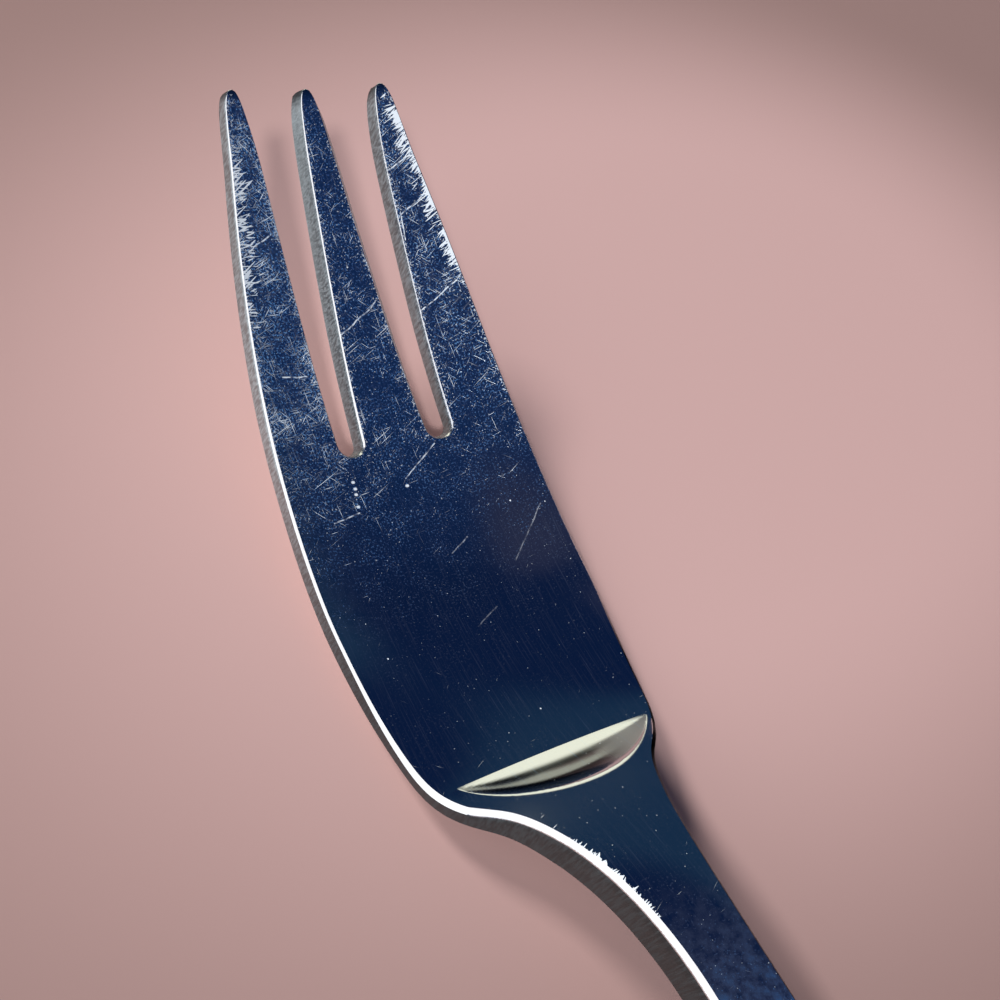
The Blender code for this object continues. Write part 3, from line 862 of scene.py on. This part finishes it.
def fork_head(line, materials):
    """Tines, palm, neck and tang as one surface: a top, a rounded edge, sheared sides and a back."""
    top, edge, side, back = range(4)
    surface = Surface()
    loop = outline()
    along = np.roll(loop, -1, axis=0) - np.roll(loop, 1, axis=0)
    along /= np.linalg.norm(along, axis=1)[:, None]
    inward = np.column_stack((along[:, 1], -along[:, 0]))
    depth = edge_round(loop[:, 1])
    width = depth * EDGE_SPREAD

    def ring(inset, height):
        flat = loop + inward * inset[:, None]
        x, v = flat.T
        return flat, surface.add_points(line.place(x, v, height(x, v)), wear(x, v))

    rows = [ring(width + EDGE_GUARD, top_height)]
    for share in np.linspace(0.0, 1.0, EDGE_RINGS + 1):
        inset = width * (1 - share)
        drop = depth * share ** EDGE_CURVE
        rows.append(ring(inset, lambda x, v: top_height(x, v) - drop))
    cap_loop, cap_ring = rows[0]
    fill_cap(surface, cap_ring, cap_loop, True,
             lambda x, v: line.place(x, v, top_height(x, v)), top)
    for (_, near), (_, far), finish in zip(rows, rows[1:], [top] + EDGE_RINGS * [edge]):
        surface.add_strip(near, far, finish)
    wall = rows[-1][1]
    high = top_height(loop[:, 0], loop[:, 1]) - depth
    low = bottom_height(loop[:, 1]) + BACK_EDGE
    flare = wall_flare(loop[:, 0], loop[:, 1])
    for share in np.linspace(0.0, 1.0, SIDE_ROWS + 1)[1:]:
        _, lower = ring(-flare * share, lambda x, v: mix(high, low, share))
        surface.add_strip(wall, lower, side)
        wall = lower
    back_loop, back_ring = ring(BACK_EDGE * np.minimum(depth / EDGE_TINE, 1) - flare,
                                lambda x, v: bottom_height(v))
    surface.add_strip(wall, back_ring, side)
    fill_cap(surface, back_ring, back_loop, False,
             lambda x, v: line.place(x, v, bottom_height(v)), back)
    return surface.to_object("fork_head_metal", materials)


def handle_stations(start, inset):
    """Stations along the handle: even along its body, and closer together round its end."""
    stations = list(np.linspace(start, END_CENTRE, BODY_STATIONS))
    for turn in np.linspace(0.0, math.pi / 2, CAP_STATIONS + 1)[1:]:
        stations.append(END_CENTRE + (HANDLE_END_ROUND - inset) * math.sin(turn))
    return stations


def half_section(line, v, inset, side, seam):
    """Half of the handle's section at a station, from one seam over the crown to the other."""
    half_width = handle_half_width(v, inset)
    crown = max(handle_half_height(v, inset) - seam, 0.0)
    power = 2 / mix(START_SQUARENESS, END_SQUARENESS, ease(HANDLE_START, END_CENTRE, v))
    turns = np.linspace(0.0, math.pi, SECTION_POINTS + 1)
    x = half_width * np.sign(np.cos(turns)) * abs(np.cos(turns)) ** power
    height = side * (seam + crown * np.sin(turns).clip(0.0) ** power)
    points = line.place(x, np.full(len(x), v), height)
    points[:, 2] = points[:, 2].clip(0.0)
    return points


def half_shell(name, side, line, material):
    """One pressed half of the handle: an outer and an inner skin joined along the seam."""
    surface = Surface()
    skins = []
    for inset, seam in ((0.0, SEAM_GAP + SEAM_ROUND), (SEAM_ROUND, SEAM_GAP), (SHELL_WALL, SEAM_GAP)):
        stations = handle_stations(HANDLE_START + LINE_STEP + JOINT_GAP + inset / 2, inset)
        skins.append([surface.add_points(half_section(line, v, inset, side, seam)) for v in stations])
    outer, rim, inner = skins
    for rows in (outer, inner):
        for near, far in zip(rows, rows[1:]):
            surface.add_strip(near, far, 0, closed=False)
    for first, second in ((outer, rim), (rim, inner)):
        for end in (0, -1):
            surface.add_strip([row[end] for row in first], [row[end] for row in second], 0, closed=False)
        surface.add_strip(first[0], second[0], 0, closed=False)
    return surface.to_object(name, [material])


# Materials

class Nodes:
    """Short ways to add and join the nodes of one material or world."""

    def __init__(self, tree):
        self.tree = tree

    def add(self, kind, inputs=(), **settings):
        node = self.tree.nodes.new(kind)
        for name, value in settings.items():
            setattr(node, name, value)
        for key, value in dict(inputs).items():
            self.feed(node.inputs[key], value)
        return node

    def feed(self, socket, value):
        if isinstance(value, bpy.types.NodeSocket):
            self.tree.links.new(value, socket)
        else:
            socket.default_value = value

    def math(self, operation, first, second):
        node = self.add("ShaderNodeMath", {0: first, 1: second}, operation=operation)
        return node.outputs["Value"]

    def ramp(self, value, low, high, start=0.0, end=1.0, kind="SMOOTHSTEP"):
        """Climb from start to end while a value goes from low to high."""
        inputs = {"Value": value, "From Min": low, "From Max": high, "To Min": start, "To Max": end}
        return self.add("ShaderNodeMapRange", inputs, interpolation_type=kind).outputs["Result"]

    def blend(self, first, second, share):
        """Colour between two colours, each a colour or a socket."""
        first, second = (colour if isinstance(colour, bpy.types.NodeSocket) else (*colour, 1.0)
                         for colour in (first, second))
        inputs = {"Factor": share, 6: first, 7: second}
        return self.add("ShaderNodeMix", inputs, data_type="RGBA").outputs[2]

    def places(self, flat=False):
        """Places on the object in millimetres, or seen flat from above."""
        scale = (1 / MM, 1 / MM, 0.0 if flat else 1 / MM)
        inputs = {"Vector": self.add("ShaderNodeTexCoord").outputs["Object"], "Scale": scale}
        return self.add("ShaderNodeMapping", inputs).outputs["Vector"]

    def cut(self, value, level, softness):
        """1 where a value lies over a level, with a soft edge."""
        return self.ramp(self.math("SUBTRACT", value, level), 0.0, softness)

    def highest(self, values):
        top = values[0]
        for value in values[1:]:
            top = self.math("MAXIMUM", top, value)
        return top

    def noise(self, where, size, detail=2.0, roughness=0.5):
        inputs = {"Vector": where, "Scale": 1 / size, "Detail": detail, "Roughness": roughness}
        return self.add("ShaderNodeTexNoise", inputs).outputs["Fac"]

    def streaks(self, where, turn, length, width, detail=0.0):
        """Noise drawn out along a direction across the top."""
        inputs = {"Vector": where, "Rotation": (0.0, 0.0, turn), "Scale": (length, width, STREAK_HEIGHT)}
        drawn = self.add("ShaderNodeMapping", inputs, vector_type="TEXTURE").outputs["Vector"]
        return self.noise(drawn, 1.0, detail)

    def attribute(self, name):
        return self.add("ShaderNodeAttribute", attribute_name=name).outputs["Fac"]

    def bump(self, height):
        """Normal of a surface with a height in millimetres."""
        inputs = {"Height": height, "Distance": MM}
        return self.add("ShaderNodeBump", inputs).outputs["Normal"]


def new_material(name, metallic):
    material = bpy.data.materials.new(name)
    material.use_nodes = True
    shader = material.node_tree.nodes["Principled BSDF"]
    shader.inputs["Metallic"].default_value = metallic
    return material, Nodes(material.node_tree), shader


def line_mark(nodes, where, start, end, width):
    """Mark along a straight line from one place to another."""
    def vector(operation, inputs, output):
        return nodes.add("ShaderNodeVectorMath", inputs, operation=operation).outputs[output]

    start = Vector((*start, 0.0))
    run = Vector((*end, 0.0)) - start
    beside = vector("SUBTRACT", {0: where, 1: start}, "Vector")
    share = vector("DOT_PRODUCT", {0: beside, 1: run / run.length_squared}, "Value")
    share = nodes.add("ShaderNodeClamp", {"Value": share}).outputs["Result"]
    nearest = vector("SCALE", {0: run, "Scale": share}, "Vector")
    away = vector("DISTANCE", {0: beside, 1: nearest}, "Value")
    return nodes.ramp(away, LINE_CORE * width, LINE_FADE * width, 1.0, 0.0)


def strokes(nodes, where, turns, width, level, softness):
    """Strokes in several directions, each where a drawn-out noise lies over a level."""
    drawn = [nodes.streaks(where, turn, length, width) for turn, length in turns]
    return nodes.highest([nodes.cut(noise, level, softness) for noise in drawn])


def scuff_flecks(nodes, where, scuffs, unevenness):
    """Fine grain of scuffed metal."""
    grain = nodes.noise(where, GRAIN_SIZE, detail=2.0, roughness=0.6)
    level = nodes.math("ADD", nodes.ramp(scuffs, 0.0, FLECK_SCUFFS, *FLECK_LEVELS), unevenness)
    strength = nodes.math("MULTIPLY", scuffs, FLECK_STRENGTH)
    return nodes.math("MULTIPLY", nodes.cut(grain, level, FLECK_SOFTNESS), strength)


def sparkles(nodes, where, scuffs, unevenness):
    """Bright pits of scuffed metal, closer together along the tines' edges."""
    level = nodes.math("ADD", nodes.ramp(scuffs, 0.0, 1.0, *SPARKLE_LEVELS), unevenness)
    level = nodes.math("SUBTRACT", level, nodes.math("MULTIPLY", nodes.attribute("nicks"), NICK_LEVEL))
    pits = nodes.noise(where, SPARKLE_SIZE, detail=1.0, roughness=0.6)
    return nodes.math("MULTIPLY", nodes.cut(pits, level, SPARKLE_SOFTNESS), SPARKLE_STRENGTH)


def fine_scratches(nodes, where, scuffs, patches):
    """Hair scratches in several directions, stronger in some patches than in others."""
    level = nodes.ramp(scuffs, 0.0, SCRATCH_SCUFFS, *SCRATCH_LEVELS)
    scratches = strokes(nodes, where, SCRATCH_TURNS, SCRATCH_WIDTH, level, SCRATCH_SOFTNESS)
    return nodes.math("MULTIPLY", scratches, nodes.ramp(patches, *SCRATCH_PATCHES, FAINT, 1.0))


def rub_marks(nodes, where):
    """Bold strokes where the metal is rubbed, gathered into clumps."""
    clumps = nodes.ramp(nodes.noise(where, CLUMP_SIZE), *NOISE_SPREAD, *CLUMP_LEVELS)
    level = nodes.ramp(nodes.attribute("rubbing"), 0.0, RUB_FULL, *RUB_LEVELS, kind="LINEAR")
    return strokes(nodes, where, RUB_TURNS, RUB_WIDTH, nodes.math("ADD", level, clumps), RUB_SOFTNESS)


def long_scratches(nodes, where, scuffs):
    """The longest scratches, swaying and broken, and fainter on less scuffed metal."""
    sway = nodes.add("ShaderNodeTexNoise", {"Vector": where, "Scale": 1 / CLUMP_SIZE}).outputs["Color"]
    inputs = {0: sway, 1: (LONG_SCRATCH_WOBBLE, LONG_SCRATCH_WOBBLE, 0.0), 2: where}
    swayed = nodes.add("ShaderNodeVectorMath", inputs, operation="MULTIPLY_ADD").outputs["Vector"]
    lines = nodes.highest([line_mark(nodes, swayed, start, end, LONG_SCRATCH_WIDTH)
                           for start, end in LONG_SCRATCHES])
    breaks = nodes.ramp(nodes.noise(where, BREAK_SIZE), *BREAK_SPREAD, FAINT, 1.0)
    lines = nodes.math("MULTIPLY", lines, breaks)
    return nodes.math("MULTIPLY", lines, nodes.ramp(scuffs, 0.0, 1.0, FAINT, 1.0))


def dried_drops(nodes, where):
    """Short pale marks where drops have dried."""
    return nodes.highest([line_mark(nodes, where, (x, y), (x + DROP_LENGTH, y), DROP_WIDTH)
                          for x, y in DROPS])


def dust_specks(nodes, where):
    """Specks of dust, of a random size in each cell of a loose grid."""
    cells = nodes.add("ShaderNodeTexVoronoi", {"Vector": where, "Scale": 1 / SPECK_SPACING})
    chance = nodes.add("ShaderNodeSeparateColor", {"Color": cells.outputs["Color"]}).outputs[0]
    reach = nodes.math("MULTIPLY", chance, SPECK_RADIUS / SPECK_SPACING)
    return nodes.cut(reach, cells.outputs["Distance"], SPECK_SOFTNESS)


def haze_and_sheen_clouds(nodes, where):
    clouds = nodes.ramp(nodes.noise(where, HAZE_SIZE, detail=3.0, roughness=0.6), *HAZE_SPREAD)
    return nodes.math("MULTIPLY", nodes.attribute("haze_and_sheen"), clouds)


def worn_steel():
    """Polished top of the head: scuffed at the tines, brushed along the palm, with specks of dust; its fine
    marks carry a painted blue sheen, and its step a painted shade.
    """
    material, nodes, shader = new_material("worn_steel", 1.0)
    where = nodes.places(flat=True)
    scuffs = nodes.attribute("scuffs")
    patches = nodes.noise(where, PATCH_SIZE)
    unevenness = nodes.ramp(patches, *NOISE_SPREAD, *PATCH_LEVELS)
    brushing = nodes.streaks(where, math.pi / 2, BRUSH_LENGTH, BRUSH_WIDTH, detail=2.0)
    bold = nodes.highest([
        rub_marks(nodes, where),
        long_scratches(nodes, where, scuffs),
        dried_drops(nodes, where),
        dust_specks(nodes, where),
        sparkles(nodes, where, scuffs, unevenness),
        fine_scratches(nodes, where, scuffs, patches),
    ])
    fine = nodes.highest([
        scuff_flecks(nodes, where, scuffs, unevenness),
        haze_and_sheen_clouds(nodes, where),
        nodes.ramp(brushing, *BRUSH_SPREAD, 0.0, BRUSH_STRENGTH),
    ])
    marks = nodes.highest([bold, fine])
    # The step's hollow and streaks are painted near black, a painted shade and painted reflection, and the
    # very tine tips are darker
    metal = nodes.blend(STEEL, PAINTED_SHADE, nodes.attribute("step_shade_and_dark_tips"))
    # Fine flecks, haze and brushing take the painted blue sheen, a painted reflection of the blue walls
    colour = nodes.blend(metal, PAINTED_BLUE_SHEEN, nodes.ramp(fine, 0.0, BLUE_SHEEN_LEVEL))
    nodes.feed(shader.inputs["Base Color"], nodes.blend(colour, BRIGHT, bold))
    nodes.feed(shader.inputs["Metallic"], nodes.math("SUBTRACT", 1.0, marks))
    polish = nodes.ramp(marks, 0.0, 1.0, POLISH_ROUGHNESS, MARK_ROUGHNESS)
    matting = nodes.math("MULTIPLY", nodes.attribute("matting"), MATT_ROUGHNESS)
    nodes.feed(shader.inputs["Roughness"], nodes.math("MAXIMUM", polish, matting))
    height = nodes.math("MULTIPLY", brushing, BRUSH_DEPTH)
    height = nodes.math("SUBTRACT", height, nodes.math("MULTIPLY", marks, MARK_DEPTH))
    nodes.feed(shader.inputs["Normal"], nodes.bump(height))
    return material


def edge_steel():
    """Bright rounded edge of the head, nicked by use, and painted dark on the right from the heel on, a
    painted shade.
    """
    material, nodes, shader = new_material("edge_steel", 1.0)
    where = nodes.places()
    nicks = nodes.noise(where, EDGE_NICK_SIZE, detail=3.0, roughness=0.65)
    bright = nodes.blend(*EDGE_STEEL, nicks)
    # The right-hand edges from the heel on are painted near black, a painted shade
    nodes.feed(shader.inputs["Base Color"], nodes.blend(bright, PAINTED_SHADE, nodes.attribute("right_edge_shade")))
    nodes.feed(shader.inputs["Roughness"], nodes.ramp(nicks, *NOISE_SPREAD, *EDGE_ROUGHNESS))
    nodes.feed(shader.inputs["Normal"], nodes.bump(nodes.math("MULTIPLY", nicks, EDGE_NICK_DEPTH)))
    shader.inputs["Specular Tint"].default_value = (*EDGE_TINT, 1.0)
    return material


def sheared_steel():
    """Sides of the head: matt metal with the grain of the shear running up and down, lighter along the worn
    tines, partly painted light, and painted dark along the palm and neck, a painted shade.
    """
    material, nodes, shader = new_material("sheared_steel", 1.0)
    inputs = {"Vector": nodes.places(), "Scale": (1.0, 1.0, SHEAR_STRETCH)}
    drawn = nodes.add("ShaderNodeMapping", inputs).outputs["Vector"]
    grain = nodes.ramp(nodes.noise(drawn, SHEAR_SIZE, detail=1.0), *NOISE_SPREAD)
    worn = nodes.blend(*WORN_SIDE, grain)
    shaded_side = nodes.blend(*PAINTED_SHADE_SIDE, grain)
    # Sides are painted dark where the tines' scuffs end, along the palm and neck, a painted shade
    nodes.feed(shader.inputs["Base Color"], nodes.blend(shaded_side, worn, nodes.attribute("side_wear_and_shade")))
    nodes.feed(shader.inputs["Roughness"], nodes.ramp(grain, 0.0, 1.0, *SHEAR_ROUGHNESS))
    nodes.feed(shader.inputs["Normal"], nodes.bump(nodes.math("MULTIPLY", grain, SHEAR_DEPTH)))
    return material


def brushed_steel(name, colour, roughness):
    """Polished metal with fine lines along the fork and a few soft smears."""
    material, nodes, shader = new_material(name, 1.0)
    where = nodes.places()
    lines = nodes.streaks(where, math.pi / 2, LINE_LENGTH, LINE_WIDTH, detail=2.0)
    smears = nodes.noise(where, SMEAR_SIZE, detail=3.0, roughness=0.6)
    pale = tuple(LINE_PALENESS * part for part in colour)
    smeared = [share * roughness for share in SMEAR_SHARES]
    nodes.feed(shader.inputs["Base Color"], nodes.blend(colour, pale, lines))
    nodes.feed(shader.inputs["Roughness"], nodes.ramp(smears, *NOISE_SPREAD, *smeared))
    nodes.feed(shader.inputs["Normal"], nodes.bump(nodes.math("MULTIPLY", lines, LINE_DEPTH)))
    return material


def cement():
    """Rough filling, seen only where the handle is opened."""
    material, nodes, shader = new_material("cement", 0.0)
    grit = nodes.noise(nodes.places(), GRIT_SIZE, detail=4.0, roughness=0.7)
    nodes.feed(shader.inputs["Base Color"], nodes.blend(*CEMENT, grit))
    nodes.feed(shader.inputs["Roughness"], nodes.ramp(grit, *NOISE_SPREAD, *GRIT_ROUGHNESS))
    nodes.feed(shader.inputs["Normal"], nodes.bump(nodes.math("MULTIPLY", grit, GRIT_DEPTH)))
    return material


def floor_paint_with_light_pool():
    """Dusty rose paint, paler round the fork in a painted pool of light."""
    material, nodes, shader = new_material("floor_paint_with_light_pool", 0.0)
    inputs = {
        "Vector": nodes.add("ShaderNodeTexCoord").outputs["Object"],
        "Location": FLOOR_CENTRE,
        "Rotation": (0.0, 0.0, FLOOR_TURN),
        "Scale": FLOOR_REACH,
    }
    spread = nodes.add("ShaderNodeMapping", inputs, vector_type="TEXTURE").outputs["Vector"]
    away = nodes.add("ShaderNodeVectorMath", {0: spread}, operation="LENGTH").outputs["Value"]
    colour = nodes.blend(FLOOR_PALE, FLOOR_PAINTED_FALLOFF, nodes.ramp(away, FLOOR_FLAT_SHARE, 1.0))
    nodes.feed(shader.inputs["Base Color"], colour)
    shader.inputs["Roughness"].default_value = FLOOR_ROUGHNESS
    return material


# Stage

def add_floor():
    bpy.ops.mesh.primitive_plane_add(size=FLOOR_SIZE, location=(0.0, 0.0, -FLOOR_DROP))
    floor = bpy.context.object
    floor.name = "floor"
    floor.data.materials.append(floor_paint_with_light_pool())


def towards(azimuth, height):
    """Direction at an angle from the tips' side round to the right, and at an angle above the floor."""
    level = math.cos(height)
    return Vector((math.sin(azimuth) * level, math.cos(azimuth) * level, math.sin(height)))


def light_world():
    """Studio of deep blue walls, with a white soft box on the left and a cream glow beyond the tips."""
    world = bpy.data.worlds.new("studio")
    world.use_nodes = True
    bpy.context.scene.world = world
    nodes = Nodes(world.node_tree)
    seen = nodes.add("ShaderNodeTexCoord").outputs["Generated"]

    def near(direction, edge):
        inputs = {0: seen, 1: direction}
        facing = nodes.add("ShaderNodeVectorMath", inputs, operation="DOT_PRODUCT").outputs["Value"]
        outer, inner = edge
        return nodes.ramp(facing, math.cos(outer), math.cos(inner))

    behind = near((0.0, -1.0, 0.0), WALL_TURN)
    low = near((0.0, 0.0, -1.0), WALL_LOW_EDGE)
    ceiling = near(towards(CEILING_AZIMUTH, CEILING_HEIGHT), CEILING_EDGE)
    glow = nodes.math("MULTIPLY", near(towards(GLOW_TOP_AZIMUTH, GLOW_TOP_HEIGHT), GLOW_TOP_EDGE),
                      near(towards(GLOW_AZIMUTH, 0.0), GLOW_EDGE))
    soft_box = near(towards(BOX_AZIMUTH, BOX_HEIGHT), BOX_EDGE)
    sky = nodes.blend(WALL_AHEAD, WALL_BEHIND, behind)
    for colour, share in ((WALL_LOW, low), (CEILING, ceiling), (GLOW, glow), (SOFT_BOX, soft_box)):
        sky = nodes.blend(sky, colour, share)
    nodes.feed(world.node_tree.nodes["Background"].inputs["Color"], sky)


def add_lamp(name, azimuth, height, size, power, mirrored):
    """Round soft lamp aimed at the fork, and shown in its polished faces or not."""
    data = bpy.data.lights.new(name, "AREA")
    data.shape = "DISK"
    data.size = size
    data.energy = power
    lamp = bpy.data.objects.new(name, data)
    bpy.context.scene.collection.objects.link(lamp)
    away = towards(azimuth, height)
    lamp.location = CAMERA_AIM + away * LAMP_DISTANCE
    lamp.rotation_mode = "QUATERNION"
    lamp.rotation_quaternion = away.to_track_quat("Z", "Y")
    lamp.visible_camera = False
    lamp.visible_glossy = mirrored


def add_camera():
    data = bpy.data.cameras.new("camera")
    data.lens = CAMERA_LENS
    data.sensor_width = SENSOR
    data.sensor_height = SENSOR
    data.clip_start = CLIP_START
    camera = bpy.data.objects.new("camera", data)
    bpy.context.scene.collection.objects.link(camera)
    camera.location = CAMERA_PLACE
    look = (CAMERA_AIM - CAMERA_PLACE).to_track_quat("-Z", "Y")
    camera.rotation_mode = "QUATERNION"
    camera.rotation_quaternion = look @ Quaternion((0.0, 0.0, 1.0), CAMERA_ROLL)
    bpy.context.scene.camera = camera


def main():
    bpy.context.scene.view_settings.view_transform = "Standard"
    line = CentreLine()
    back_steel = brushed_steel("back_steel", STEEL, BACK_ROUGHNESS)
    shell_steel = brushed_steel("shell_steel", STEEL, SHELL_ROUGHNESS)
    head = fork_head(line, [worn_steel(), edge_steel(), sheared_steel(), back_steel])
    front = half_shell("handle_front", 1, line, shell_steel)
    back = half_shell("handle_back", -1, line, shell_steel)
    for piece, node, slot in (
        (head, "fork_head", "polished_steel"),
        (front, "handle_front_shell", "pressed_steel"),
        (back, "handle_back_shell", "pressed_steel"),
    ):
        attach(piece, "root")
        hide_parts(node)
    frame["nodes"]["handle_filler"].material_slots[0].material = cement()
    add_floor()
    light_world()
    add_lamp("key_lamp", *KEY_LAMP)
    add_lamp("front_lamp", *FRONT_LAMP)
    add_camera()


main()
